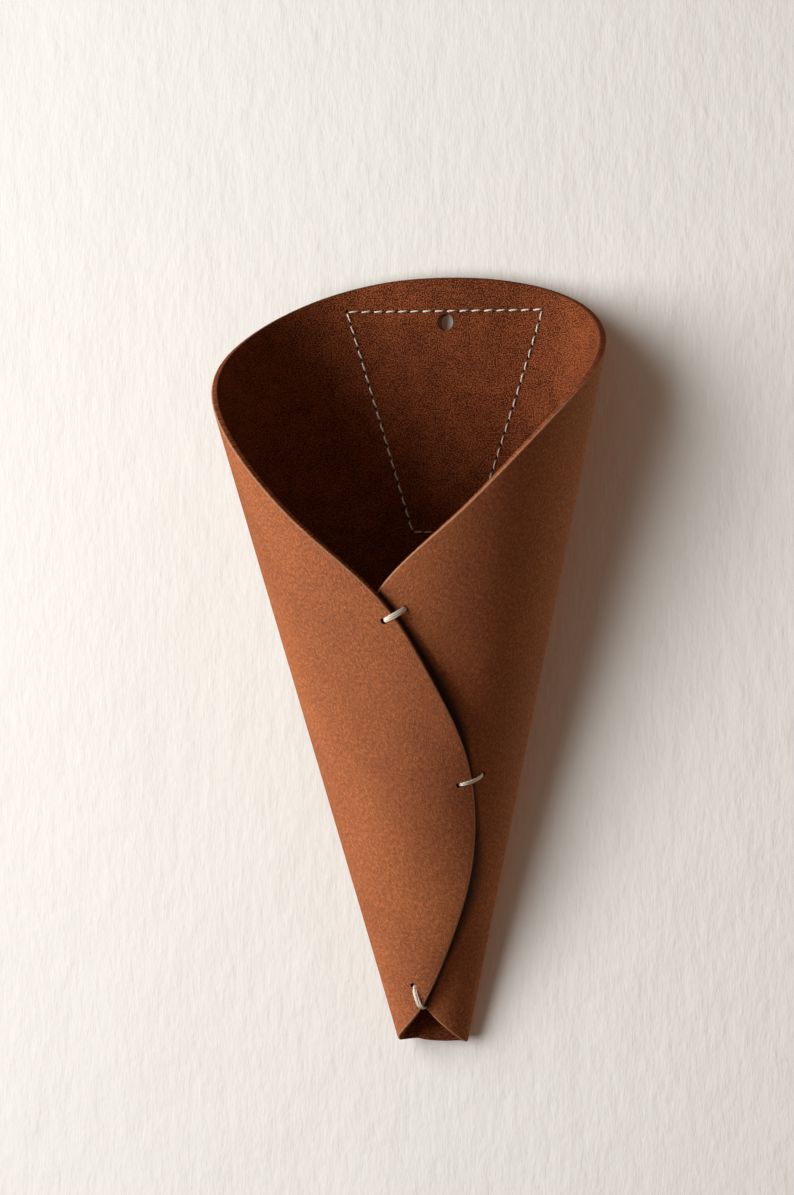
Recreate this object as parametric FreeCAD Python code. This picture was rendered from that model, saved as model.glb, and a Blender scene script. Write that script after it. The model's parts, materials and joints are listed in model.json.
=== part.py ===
import FreeCAD, Part
import math
import os

# Hanging wall vase: one sheet of thick leather, wrapped into a flattened cone and tied shut with waxed
# thread. A leather panel is saddle stitched behind it, and both hang on a nail through one hole.
# Millimetres, +Z up, the front faces -Y, the wall is the plane y = 0 and the origin is the hanging hole's
# centre on the wall. The flat pattern has the same origin, X across and Y up. The cone's point lies
# apex_drop straight below it, so a place on the leather is an angle and a distance from that point.

V = FreeCAD.Vector

# The leather
leather_thickness = 2.4
panel_thickness = 2.2
glue_gap = 0.05            # between the wrap and the panel behind it
flap_gap = 0.3             # between the two flaps where they lap

# The wrapped form, on the flesh side of the leather, at the height of the hanging hole
apex_drop = 267.2
back_flat_half = 24.0
corner_radius = 42.5
corner_turn = 146.0        # degrees, from the flat back to the front curve
# The form at the foot, where the leather is folded tighter
foot_slant = 36.0          # distance from the cone's point at which the foot's form is given
foot_flat_half = 8.6
foot_corner_turn = 116.0
mouth_slant = 290.0        # distance from the cone's point at which the upper form is used

# The flat pattern of the wrap, one half of it: the other half is its mirror image
pattern_half_width = 115.0
crown_rise = 14.8          # top of the pattern above the hole
foot_fall = 238.6          # foot's edge below the hole at the back
foot_corner_across = 26.8
foot_corner_lift = 5.8     # the foot's corners above its middle
# shares of the half width and of the height below the crown
rim_shares = [(0.0, 0.0), (0.318, 0.0185), (0.606, 0.0885), (0.828, 0.207), (0.9385, 0.377), (1.0, 0.537),
              (0.948, 0.643), (0.826, 0.769), (0.640, 0.8605), (0.435, 0.925)]
tip_trim_share = 0.997     # the flap's widest angle is cut off here, as a short straight edge

# The lap: the left flap lies over the right one and is lifted by a layer
lift_start_share = 0.2
lift_end_share = 0.65

# The hanging hole and the stitched panel
hang_hole_radius = 2.8
panel_margin = 3.2         # from the stitch line to the panel's edge
panel_corner = 2.5
stitch_top = 3.7           # the stitch line above the hole's centre
stitch_drop = 73.5          # height of the stitched trapezoid
stitch_top_half = 34.5
stitch_foot_half = 10.6
stitch_pitch = 4.23        # six stitches to the inch
thread_diameter = 0.6
thread_clearance = 0.03
awl_half_length = 1.05
awl_half_width = 0.52

# The ties: strands, and places as shares of the angle to the front centre and distances from the point
tie_thread_diameter = 0.65
tie_hole_clearance = 0.2
upper_tie_strands = 3
middle_tie_strands = 2
lower_tie_strands = 3
upper_tie_left = (1.016, 179.1)
upper_tie_right = (0.929, 182.7)
middle_tie_left = (1.225, 123.1)
middle_tie_right = (0.680, 125.9)
lower_tie_left = (0.956, 51.6)
tie_bend_share = 0.12      # where a tie bends past the flap's edge, of the way from there to its right hole
knot_radius = 1.0
knot_half_length = 1.3
knot_shares = [(-1.0, 0.5), (-0.5, 1.0), (0.5, 1.0), (1.0, 0.5)]    # along the knot, and of its radius

overrun = 1.0              # how far a cutter stands past what it cuts
thread_sides = 6
hole_sides = 8
flat_share = 0.985         # how much of the flat back is one flat face
flat_patches = 3           # faces across the flat back
stitched_patches = 2       # curved faces on each side between the flat back and the stitch line's end
side_patches = 34          # from there to the foot's corner
flap_patches = 14


def form(flat_half, radius, turn, drop):
    """A flattened section: half a flat back, a corner arc and half a front arc, drop above the point."""
    front = radius + flat_half / math.sin(turn)
    front_y = -radius * (1 - math.cos(turn)) - front * math.cos(turn)
    sizes = [flat_half, radius * turn, front * (math.pi - turn)]
    return {"flat": flat_half, "radius": radius, "turn": turn, "front": front, "front_y": front_y,
            "drop": drop, "sizes": sizes, "length": sum(sizes)}


def on_form(shape, along):
    """The point of the section at a length along it, and the way that its outside faces there."""
    flat, corner, _ = shape["sizes"]
    if along < flat:
        turned, x, y = 0, along, 0
    elif along < flat + corner:
        turned = (along - flat) / shape["radius"]
        x = shape["flat"] + shape["radius"] * math.sin(turned)
        y = shape["radius"] * (math.cos(turned) - 1)
    else:
        turned = shape["turn"] + (along - flat - corner) / shape["front"]
        x = shape["front"] * math.sin(turned)
        y = shape["front_y"] + shape["front"] * math.cos(turned)
    point = V(x, y, shape["drop"])
    out_x, out_y = math.sin(turned), math.cos(turned)
    out = V(out_x, out_y, -(x * out_x + y * out_y) / shape["drop"])
    return point.normalize(), out.normalize()


def unroll(shape):
    """Angles in the flat pattern at evenly spaced lengths along the section."""
    count = 240
    angles = [0]
    last = on_form(shape, 0)[0]
    for i in range(1, count + 1):
        point = on_form(shape, shape["length"] * i / count)[0]
        angles.append(angles[-1] + last.getAngle(point))
        last = point
    return angles


def along_at(shape, angle):
    """The length along the section at an angle of the flat pattern."""
    angles = shape["angles"]
    place = max(0, min(angle, angles[-1]))
    low, high = 0, len(angles) - 1
    while high - low > 1:
        middle = (low + high) // 2
        if angles[middle] > place:
            high = middle
        else:
            low = middle
    part = (place - angles[low]) / (angles[high] - angles[low])
    return shape["length"] * (low + part) / (len(angles) - 1)


def foot_form(half_angle):
    """The foot's section, with the corner radius that uses up the same leather as the upper form."""
    scale = apex_drop / foot_slant
    low, high = 0, corner_radius * 2
    for _ in range(40):
        radius = (low + high) / 2
        shape = form(foot_flat_half * scale, radius, math.radians(foot_corner_turn), apex_drop)
        shape["angles"] = unroll(shape)
        if shape["angles"][-1] > half_angle:
            high = radius
        else:
            low = radius
    return shape


upper = form(back_flat_half, corner_radius, math.radians(corner_turn), apex_drop)
upper["angles"] = unroll(upper)
half_angle = upper["angles"][-1]
lower = foot_form(half_angle)
lift = leather_thickness + flap_gap
back_y = -(panel_thickness + glue_gap + leather_thickness)
flat_angle = flat_share * back_flat_half / apex_drop
stitched_angle = math.atan2(stitch_top_half + 2 * awl_half_length, stitch_top + apex_drop)


def on_wrap(angle, slant, depth):
    """A place in the leather: depth is measured outwards from its flesh side. Negative angles are the left
    flap, and an angle past the front centre goes on round the other side."""
    turned = abs(angle)
    past = turned > half_angle
    place = 2 * half_angle - turned if past else turned
    share = (turned / half_angle - lift_start_share) / (lift_end_share - lift_start_share)
    share = max(0, min(1, share))
    raised = lift * share * share * (3 - 2 * share) if angle < 0 else 0
    ends = []
    for shape, reach in ((lower, foot_slant), (upper, mouth_slant)):
        ray, out = on_form(shape, along_at(shape, place))
        ends.append(ray * reach + out * (depth + raised))
    point = ends[0] + (ends[1] - ends[0]) * ((slant - foot_slant) / (mouth_slant - foot_slant))
    side = -1 if (angle < 0) != past else 1
    return V(side * point.x, point.y + back_y, point.z - apex_drop)


def on_pattern(x, y, depth):
    """A place of the flat pattern, wrapped."""
    return on_wrap(math.atan2(x, y + apex_drop), math.hypot(x, y + apex_drop), depth)


def flat_curve(points):
    curve = Part.BSplineCurve()
    curve.interpolate(Points=[V(x, y + apex_drop, 0) for x, y in points])
    return curve


def slant_at(curve, angle, start, end):
    """Where a ray at an angle crosses a flat curve, on a stretch along which the angle grows."""
    for _ in range(50):
        middle = (start + end) / 2
        point = curve.value(middle)
        if math.atan2(point.x, point.y) < angle:
            start = middle
        else:
            end = middle
    point = curve.value(start)
    return math.hypot(point.x, point.y)


def pattern_edges():
    """The half pattern's rim and hem: each gives a distance from the point at an angle."""
    height = crown_rise + foot_fall
    outline = [(pattern_half_width * x, crown_rise - height * y) for x, y in rim_shares]
    corner = (foot_corner_across, foot_corner_lift - foot_fall)
    rim = flat_curve([(-x, y) for x, y in reversed(outline[1:5])] + outline + [corner])
    foot = flat_curve([(-corner[0], corner[1]), (0, -foot_fall), corner])
    first, last = rim.FirstParameter, rim.LastParameter
    samples = [first + (last - first) * i / 2000 for i in range(2001)]
    angles = [math.atan2(rim.value(p).x, rim.value(p).y) for p in samples]
    widest = max(angles)
    tip = samples[angles.index(widest)]
    corner_angle = math.atan2(corner[0], corner[1] + apex_drop)

    def top(angle):
        return slant_at(rim, angle, first, tip)

    def bottom(angle):
        if angle > corner_angle:
            return slant_at(rim, angle, last, tip)
        return slant_at(foot, angle, foot.FirstParameter, foot.LastParameter)

    return top, bottom, corner_angle, widest * tip_trim_share


top_edge, bottom_edge, foot_corner_angle, tip_angle = pattern_edges()


def ruled(first, second):
    return Part.makeRuledSurface(first, second, 1).Faces[0]


def rail(start, end, start_way, end_way):
    curve = Part.BSplineCurve()
    curve.interpolate(Points=[start, end], Parameters=[0, 1], InitialTangent=start_way, FinalTangent=end_way,
                      Scale=False)
    return curve.toShape()


def spread(start, end, count):
    return [start + (end - start) * i / count for i in range(count + 1)]


def strip_faces(cut, places, flat=False):
    """The faces of a strip, in patches from place to place. cut gives the four corners of a cut through the
    strip at a place. Each patch takes the strip's own direction at its ends, so that they join smoothly."""
    faces = []
    for start, end in zip(places, places[1:]):
        reach = end - start
        nudge = reach / 200
        corners = list(zip(cut(start), cut(start + nudge), cut(end - nudge), cut(end)))
        rails = [rail(a, d, (b - a) * (reach / nudge), (d - c) * (reach / nudge)) for a, b, c, d in corners]
        for k in range(4):
            after = (k + 1) % 4
            if flat and k % 2 == 0:
                ends = [Part.makeLine(corners[k][i], corners[after][i]) for i in (0, 3)]
                faces.append(Part.Face(Part.Wire([rails[k], ends[1], rails[after], ends[0]])))
            else:
                faces.append(ruled(rails[k], rails[after]))
    return faces


def end_face(row):
    return ruled(Part.makeLine(row[0], row[1]), Part.makeLine(row[3], row[2]))


def sewn(faces):
    shell = Part.makeCompound(faces)
    shell.sewShape()
    solid = Part.makeSolid(shell.Shells[0])
    if solid.Volume < 0:
        solid.reverse()
    return solid


def leather_row(angle, low, high, inner, outer):
    return [on_wrap(angle, low, inner), on_wrap(angle, high, inner),
            on_wrap(angle, high, outer), on_wrap(angle, low, outer)]


def wrap_row(angle):
    low, high = bottom_edge(abs(angle)), top_edge(abs(angle))
    return leather_row(angle, low, high, 0, leather_thickness)


def leather_sheet():
    """The wrap without its holes: the flat back, a side from there to each of the foot's corners, and a flap
    at the end of each side."""
    faces = strip_faces(wrap_row, spread(-flat_angle, flat_angle, flat_patches), flat=True)
    side_places = spread(flat_angle, stitched_angle, stitched_patches)
    side_places += spread(stitched_angle, foot_corner_angle, side_patches)[1:]
    reach = tip_angle - foot_corner_angle
    for side in (-1, 1):
        def flap(share, side=side):
            return wrap_row(side * (foot_corner_angle + reach * math.sin(math.pi / 2 * share)))
        faces += strip_faces(wrap_row, [side * place for place in side_places])
        faces += strip_faces(flap, spread(0, 1, flap_patches))
        faces.append(end_face(flap(1)))
    return sewn(faces)


def panel_sheet():
    """The panel behind: a trapezoid with clipped corners, bent to the wrap's outer side."""
    top = stitch_top + panel_margin
    foot = stitch_top - stitch_drop - panel_margin
    slope = (stitch_top_half - stitch_foot_half) / stitch_drop
    side_margin = panel_margin * math.hypot(1, slope)
    top_half = stitch_top_half + slope * panel_margin + side_margin
    foot_half = stitch_foot_half - slope * panel_margin + side_margin
    inner = leather_thickness + glue_gap
    outer = inner + panel_thickness
    far = math.atan2(top_half, top - panel_corner + apex_drop)
    near = math.atan2(foot_half, foot + apex_drop)

    def low(angle):
        slant = (foot + apex_drop) / math.cos(angle)
        if abs(angle) > near:
            # the slanting side: x = foot_half + slope * (y - foot), met by the ray x = y * tan(angle)
            tangent = math.tan(abs(angle))
            y = (foot_half - slope * (foot + apex_drop)) / (tangent - slope)
            slant = y / math.cos(angle)
        return slant

    def high(angle):
        return (top + apex_drop) / math.cos(angle)

    def cut(angle):
        return leather_row(angle, low(angle), high(angle), inner, outer)

    trimmed = far - math.atan2(panel_corner, apex_drop)
    faces = strip_faces(cut, [-near, near], flat=True)
    for side in (-1, 1):
        faces += strip_faces(cut, [side * near, side * flat_angle], flat=True)
        faces += strip_faces(cut, spread(side * flat_angle, side * trimmed, stitched_patches))
        faces.append(end_face(cut(side * trimmed)))
    return sewn(faces)


def stitch_places():
    """The stitch holes in the flat pattern, with the way that the line runs: down from the foot's middle,
    round the trapezoid and back to the foot's middle."""
    foot = stitch_top - stitch_drop
    corners = [(0, foot), (-stitch_foot_half, foot), (-stitch_top_half, stitch_top),
               (stitch_top_half, stitch_top), (stitch_foot_half, foot), (0, foot)]
    places = []
    for (x1, y1), (x2, y2) in zip(corners, corners[1:]):
        count = max(1, round(math.hypot(x2 - x1, y2 - y1) / stitch_pitch))
        for i in range(count):
            share = i / count
            places.append((x1 + (x2 - x1) * share, y1 + (y2 - y1) * share))
    return places


def local_frame(x, y):
    """The directions across the pattern, up it and out of it, at a place on the wrap."""
    middle = on_pattern(x, y, 0)
    across = (on_pattern(x + overrun, y, 0) - middle).normalize()
    out = (on_pattern(x, y, overrun) - middle).normalize()
    return across, across.cross(out), out


def stitch_rows():
    """Each hole's place, and the direction square to the stitch line in which its two strands lie apart."""
    places = stitch_places()
    rows = []
    for i, (x, y) in enumerate(places):
        before = places[i - 1]
        after = places[(i + 1) % len(places)]
        along = (after[0] - before[0], after[1] - before[1])
        size = math.hypot(*along)
        rows.append((x, y, -along[1] / size, along[0] / size))
    return rows


def awl_cutters(inner, outer):
    """Diamond holes through a layer, with the long way across the stitch line."""
    cutters = []
    for x, y, side_x, side_y in stitch_rows():
        corners = []
        for long_way, short_way in ((1, 0), (0, 1), (-1, 0), (0, -1)):
            off_x = side_x * awl_half_length * long_way + side_y * awl_half_width * short_way
            off_y = side_y * awl_half_length * long_way - side_x * awl_half_width * short_way
            corners.append((off_x, off_y))
        across, up, out = local_frame(x, y)
        start = on_pattern(x, y, inner - overrun)
        points = [start + across * a + up * b for a, b in corners]
        face = Part.Face(Part.makePolygon(points + points[:1]))
        cutters.append(face.extrude(out * (outer - inner + 2 * overrun)))
    return cutters


def ring(centre, way, radius, sides):
    """A closed outline with equal sides, square to a direction."""
    side = way.cross(V(0, 0, 1)).normalize()
    up = way.cross(side)
    turns = [2 * math.pi * i / sides for i in range(sides)]
    points = [centre + (side * math.cos(turn) + up * math.sin(turn)) * radius for turn in turns]
    return Part.makePolygon(points + points[:1])


def tie_cutter(start, end, radius):
    way = (end - start).normalize()
    face = Part.Face(ring(start - way * overrun, way, radius, hole_sides))
    return face.extrude(way * ((end - start).Length + 2 * overrun))


def hang_cutter():
    return Part.makeCylinder(hang_hole_radius, -back_y + 2 * overrun, V(0, back_y - overrun, 0), V(0, 1, 0))


def groove_nodes():
    """The stitch holes at which the groove bends: at the line's corners, and all along its curved parts."""
    places = stitch_places()
    nodes = []
    for i, (x, y) in enumerate(places):
        before, after = places[i - 1], places[(i + 1) % len(places)]
        flat = all(abs(math.atan2(px, py + apex_drop)) < flat_angle for px, py in (before, after))
        bend = (x - before[0]) * (after[1] - y) - (y - before[1]) * (after[0] - x)
        if not flat or abs(bend) > thread_clearance:
            nodes.append((x, y))
    return nodes


def groove_cutters():
    """A groove in the panel's back along the stitch line, so that the thread lies flush."""
    nodes = groove_nodes()
    outer = leather_thickness + glue_gap + panel_thickness
    depth = thread_diameter + thread_clearance
    width = 2 * (thread_diameter + 2 * thread_clearance)
    cutters = []
    for (x1, y1), (x2, y2) in zip(nodes, nodes[1:] + nodes[:1]):
        start = on_pattern(x1, y1, outer - depth)
        end = on_pattern(x2, y2, outer - depth)
        out = local_frame((x1 + x2) / 2, (y1 + y2) / 2)[2]
        side = out.cross(end - start).normalize() * (width / 2)
        corners = [start + side, end + side, end - side, start - side]
        base = Part.Face(Part.makePolygon(corners + corners[:1]))
        cutters.append(base.extrude(out * (depth + overrun)))
    return cutters


def strand(points, radius):
    """A thread through a list of points, with flat sides and a mitred bend at each point."""
    outline = ring(points[0], (points[1] - points[0]).normalize(), radius, thread_sides)
    return Part.makePolygon(points).makePipeShell([outline], True, False, 1)


def panel_stitching():
    """Saddle stitch: two strands go through every hole side by side and lie on opposite faces."""
    radius = thread_diameter / 2
    apart = radius + thread_clearance / 2
    inside = -radius - thread_clearance
    behind = leather_thickness + glue_gap + panel_thickness - radius - thread_clearance / 2
    rows = stitch_rows()
    strands = []
    for side in (1, -1):
        points = []
        front = side > 0
        for x, y, side_x, side_y in rows:
            place = (x + side * apart * side_x, y + side * apart * side_y)
            depths = (behind, inside) if front else (inside, behind)
            points += [on_pattern(*place, depth) for depth in depths]
            front = not front
        strands.append(strand(points, radius))
    return Part.makeCompound(strands)


def tied(turns, knot):
    """A tie's thread along its turns, with its two ends in a knot on the flesh side."""
    way = (turns[-1] - turns[0]).normalize()
    ends = [knot - way * (knot_half_length / 2), knot + way * (knot_half_length / 2)]
    thread = strand([ends[0]] + turns + [ends[1]], tie_thread_diameter / 2)
    rings = [ring(knot + way * (knot_half_length * along), way, knot_radius * size, hole_sides)
             for along, size in knot_shares]
    return thread.fuse(Part.makeLoft(rings, True, True))


def in_left_flap(angle, slant):
    """Whether a place past the front centre is covered by the left flap."""
    return angle < tip_angle and bottom_edge(angle) < slant < top_edge(angle)


def flap_tie(left, right, strands):
    """A tie over the left flap's edge. It goes through both flaps at the left place and through the right
    flap at the right place. Returns the thread and the two holes' axes."""
    radius = tie_thread_diameter / 2
    left_angle = left[0] * half_angle
    right_angle = right[0] * half_angle
    beneath_angle = 2 * half_angle - left_angle
    run = 2 * half_angle - right_angle - left_angle
    covered, bare = 0, 1
    for _ in range(40):
        share = (covered + bare) / 2
        if in_left_flap(left_angle + run * share, left[1] + (right[1] - left[1]) * share):
            covered = share
        else:
            bare = share
    over = bare + (1 - bare) * tie_bend_share
    over_angle = left_angle + run * over
    over_slant = left[1] + (right[1] - left[1]) * over
    gap = radius + thread_clearance
    a_out = on_wrap(-left_angle, left[1], leather_thickness + gap)
    e_out = on_wrap(-over_angle, over_slant, leather_thickness + gap)
    b_out = on_wrap(right_angle, right[1], leather_thickness + gap)
    a_in = on_wrap(beneath_angle, left[1], -gap)
    b_in = on_wrap(right_angle, right[1], -gap)
    way = (b_out - a_out).normalize()
    side = way.cross(a_out - a_in).normalize() * (tie_thread_diameter + thread_clearance)
    inward = (a_in - a_out).normalize()
    knot = (a_in + b_in) / 2 + inward * (knot_radius + radius + thread_clearance)
    points = []
    for k in range(strands):
        shift = side * (k - (strands - 1) / 2)
        points += [a_in + shift, a_out + shift, e_out + shift, b_out + shift, b_in + shift]
    holes = [(a_in, a_out), (b_in, b_out)]
    return tied(points, knot), holes


def foot_tie(left, strands):
    """The lowest tie goes through both flaps and round the foot's edge."""
    radius = tie_thread_diameter / 2
    gap = radius + thread_clearance
    angle = left[0] * half_angle
    beneath = 2 * half_angle - angle
    edge = bottom_edge(half_angle) - gap
    a_out = on_wrap(-angle, left[1], leather_thickness + gap)
    f_out = on_wrap(-half_angle, edge, leather_thickness + gap)
    f_in = on_wrap(half_angle, edge, -gap)
    a_in = on_wrap(beneath, left[1], -gap)
    way = (f_out - a_out).normalize()
    side = way.cross(a_out - a_in).normalize() * (tie_thread_diameter + thread_clearance)
    inward = (a_in - a_out).normalize()
    knot = (a_in + f_in) / 2 + inward * (knot_radius + radius + thread_clearance)
    points = []
    for k in range(strands):
        shift = side * (k - (strands - 1) / 2)
        points += [a_in + shift, a_out + shift, f_out + shift, f_in + shift]
    return tied(points, knot), [(a_in, a_out)]


def tie_hole_radius(strands):
    return strands * (tie_thread_diameter + thread_clearance) / 2 + tie_hole_clearance


def save(shape, name):
    shape.exportStep(os.path.join("parts", name + ".step"))
    state = "valid" if shape.isValid() else "NOT VALID"
    print(name, state, len(shape.Solids), "solids", len(shape.Faces), "faces", round(shape.Volume, 1), "mm3")


os.makedirs("parts", exist_ok=True)

ties = {}
tie_cutters = []
for name, strands, tie, holes in (
        ("upper_tie", upper_tie_strands, *flap_tie(upper_tie_left, upper_tie_right, upper_tie_strands)),
        ("middle_tie", middle_tie_strands, *flap_tie(middle_tie_left, middle_tie_right, middle_tie_strands)),
        ("lower_tie", lower_tie_strands, *foot_tie(lower_tie_left, lower_tie_strands))):
    ties[name] = tie
    for start, end in holes:
        tie_cutters.append(tie_cutter(start, end, tie_hole_radius(strands)))

wrap_cutters = tie_cutters + [hang_cutter()] + awl_cutters(0, leather_thickness)
save(leather_sheet().cut(Part.makeCompound(wrap_cutters)), "leather_wrap")
panel_inner = leather_thickness + glue_gap
panel_holes = [hang_cutter()] + awl_cutters(panel_inner, panel_inner + panel_thickness)
panel = panel_sheet().cut(Part.makeCompound(panel_holes))
save(panel.cut(groove_cutters()), "back_panel")
save(panel_stitching(), "panel_stitching")
for name, tie in ties.items():
    save(tie, name)
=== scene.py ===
import math
import json

import bpy
import bmesh
import numpy as np
from mathutils import Matrix, Vector

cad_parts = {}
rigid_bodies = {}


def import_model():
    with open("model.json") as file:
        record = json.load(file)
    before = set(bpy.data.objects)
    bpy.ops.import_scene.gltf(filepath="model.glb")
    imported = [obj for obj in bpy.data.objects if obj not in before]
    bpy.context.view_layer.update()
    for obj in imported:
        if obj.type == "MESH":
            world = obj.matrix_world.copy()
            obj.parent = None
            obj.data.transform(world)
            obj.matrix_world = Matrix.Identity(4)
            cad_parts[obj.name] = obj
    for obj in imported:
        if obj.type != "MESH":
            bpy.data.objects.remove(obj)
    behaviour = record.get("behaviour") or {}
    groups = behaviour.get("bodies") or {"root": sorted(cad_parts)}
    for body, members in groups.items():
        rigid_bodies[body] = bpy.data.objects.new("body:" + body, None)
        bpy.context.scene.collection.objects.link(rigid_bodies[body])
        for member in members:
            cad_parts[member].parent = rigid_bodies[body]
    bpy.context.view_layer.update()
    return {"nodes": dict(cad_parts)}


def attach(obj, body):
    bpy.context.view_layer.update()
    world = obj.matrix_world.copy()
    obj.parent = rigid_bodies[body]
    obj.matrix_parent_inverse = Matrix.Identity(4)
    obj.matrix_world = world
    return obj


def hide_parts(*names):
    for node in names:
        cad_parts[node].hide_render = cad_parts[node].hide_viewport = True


# Hanging wall vase: the leather is cut flat, wrapped into a flattened cone and tied with waxed thread.
# Sizes in the dictionaries are millimetres, the meshes are metres. +Z is up and the wall is y = 0.

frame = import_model()
metre = 1000.0                  # in millimetres
print("frame with", len(frame["nodes"]), "pieces")

# the wrapped form, the same as in the CAD model
cone = {
    "apexDrop": 267.2,          # the cone's point below the hanging hole
    "flatHalf": 24.0, "radius": 42.5, "turn": 146.0,                # the upper section: flat back, corner arc
    "footSlant": 36.0, "footFlatHalf": 8.6, "footTurn": 116.0,      # the foot's, and its distance from the point
    "mouthSlant": 290.0,        # the upper section's distance from the cone's point
    "liftStart": 0.2, "liftEnd": 0.65,      # where the left flap rises by a layer, as shares of the half turn
}
leather = {
    "thickness": 2.4, "panelThickness": 2.2, "glueGap": 0.05, "flapGap": 0.3,
    "cornerRound": 0.55, "arcPoints": 5, "wallPoints": 2,           # the cut edge's rounded corners and wall
}
pattern = {
    "halfWidth": 115.0, "crown": 14.8, "foot": -238.6,
    "footCorner": (26.8, -232.8),
    "rim": [(0.0, 0.0), (0.318, 0.0185), (0.606, 0.0885), (0.828, 0.207), (0.9385, 0.377), (1.0, 0.537),
            (0.948, 0.643), (0.826, 0.769), (0.640, 0.8605), (0.435, 0.925)],
    "tipTrim": 0.99983,         # a flap's widest angle is cut off here
}
gape = {                        # between two ties the left flap's edge stands off the leather under it
    "ties": (51.6, 123.1, 179.1),           # the ties' distances from the cone's point
    "lift": (1.5, 0.9), "reach": 14.0,      # how far it stands off, low and high, and how far in from the edge
    "line": 0.9, "shadeLineMore": (2.6, 1.7),    # the painted shade line's width under it, and what is added between ties
    "shadeLineEnd": 14.0,            # how far past the upper tie the painted shade line goes
}
tablePoints = {"section": 4001, "rim": 6001, "hem": 801, "lap": 700, "onEdge": 2001}
farAway = 99.0                  # the painted shade map's value where there is no lap
backY = -(leather["panelThickness"] + leather["glueGap"] + leather["thickness"])


def sectionForm(flatHalf, radius, turn, drop):
    # half a flat back, a corner arc and half a front arc, drop above the cone's point
    front = radius + flatHalf / math.sin(turn)
    frontY = -radius * (1 - math.cos(turn)) - front * math.cos(turn)
    length = flatHalf + radius * turn + front * (math.pi - turn)
    shape = dict(flat=flatHalf, radius=radius, turn=turn, front=front, frontY=frontY, drop=drop)
    along = np.linspace(0, length, tablePoints["section"])
    ray = sectionAt(shape, along)[0]
    steps = np.linalg.norm(np.diff(ray, axis=0), axis=1)
    shape["alongs"] = along
    shape["angles"] = np.concatenate([[0], np.cumsum(2 * np.arcsin(steps / 2))])
    return shape


def sectionAt(shape, along):
    # the ray from the cone's point through the section at a length along it, and the way its outside faces
    flat, radius, turn = shape["flat"], shape["radius"], shape["turn"]
    onArc = np.clip((along - flat) / radius, 0, turn)
    past = np.maximum(along - flat - radius * turn, 0) / shape["front"]
    angle = onArc + past
    x = np.minimum(along, flat) + radius * np.sin(onArc)
    y = radius * (np.cos(onArc) - 1)
    onFront = past > 0
    x = np.where(onFront, shape["front"] * np.sin(angle), x)
    y = np.where(onFront, shape["frontY"] + shape["front"] * np.cos(angle), y)
    ray = np.stack([x, y, np.full_like(x, shape["drop"])], -1)
    out = np.stack([np.sin(angle), np.cos(angle), -(x * np.sin(angle) + y * np.cos(angle)) / shape["drop"]], -1)
    return unit(ray), unit(out)


def unit(v):
    return v / np.maximum(np.linalg.norm(v, axis=-1, keepdims=True), 1e-12)


def lengths(points):
    # the length along an open line up to each of its points
    return np.concatenate([[0], np.cumsum(np.linalg.norm(np.diff(points, axis=0), axis=1))])


def footForm(halfAngle):
    # the foot's section uses up the same leather as the upper one
    scale = cone["apexDrop"] / cone["footSlant"]
    low, high = 0.0, 2 * cone["radius"]
    for _ in range(30):
        radius = (low + high) / 2
        shape = sectionForm(cone["footFlatHalf"] * scale, radius, math.radians(cone["footTurn"]), cone["apexDrop"])
        low, high = (low, radius) if shape["angles"][-1] > halfAngle else (radius, high)
    return shape


upperForm = sectionForm(cone["flatHalf"], cone["radius"], math.radians(cone["turn"]), cone["apexDrop"])
halfAngle = upperForm["angles"][-1]
lowerForm = footForm(halfAngle)
lift = leather["thickness"] + leather["flapGap"]


def wrapped(angle, slant, depth):
    # a place in the leather: the ray at an angle of the flat pattern, at a distance from the cone's point,
    # and a depth outwards from the flesh side. The left flap, at negative angles, is lifted by a layer.
    angle, slant, depth = np.broadcast_arrays(*(np.asarray(v, float) for v in (angle, slant, depth)))
    turned = np.abs(angle)
    past = turned > halfAngle
    place = np.where(past, 2 * halfAngle - turned, turned)
    share = np.clip((turned / halfAngle - cone["liftStart"]) / (cone["liftEnd"] - cone["liftStart"]), 0, 1)
    raised = np.where(angle < 0, lift * share * share * (3 - 2 * share), 0)
    inside = np.clip(1 - (edgeAngle(slant) - turned) * slant / gape["reach"], 0, 1)
    most = np.where(slant < gape["ties"][1], *gape["lift"])
    raised = raised + np.where((angle < 0) & past, most * betweenTies(slant) * inside * inside, 0)
    ends = []
    for shape, reach in ((lowerForm, cone["footSlant"]), (upperForm, cone["mouthSlant"])):
        ray, out = sectionAt(shape, np.interp(place, shape["angles"], shape["alongs"]))
        ends.append(ray * reach + out * (depth + raised)[..., None])
    share = (slant - cone["footSlant"]) / (cone["mouthSlant"] - cone["footSlant"])
    point = ends[0] + (ends[1] - ends[0]) * share[..., None]
    side = np.where((angle < 0) != past, -1, 1)
    return np.stack([side * point[..., 0], point[..., 1] + backY, point[..., 2] - cone["apexDrop"]], -1)


def polar(x, y):
    # the angle about the cone's point of a place in the flat pattern, and its distance from that point
    return np.arctan2(x, y + cone["apexDrop"]), np.hypot(x, y + cone["apexDrop"])


def fromPolar(angles, slants):
    # the same place from the cone's point
    return np.stack([slants * np.sin(angles), slants * np.cos(angles)], -1)


def quarterTurn(way):
    return np.stack([-way[:, 1], way[:, 0]], -1)


def fromPattern(x, y, depth):
    # a place of the flat pattern, wrapped
    return wrapped(*polar(x, y), depth)


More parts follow.
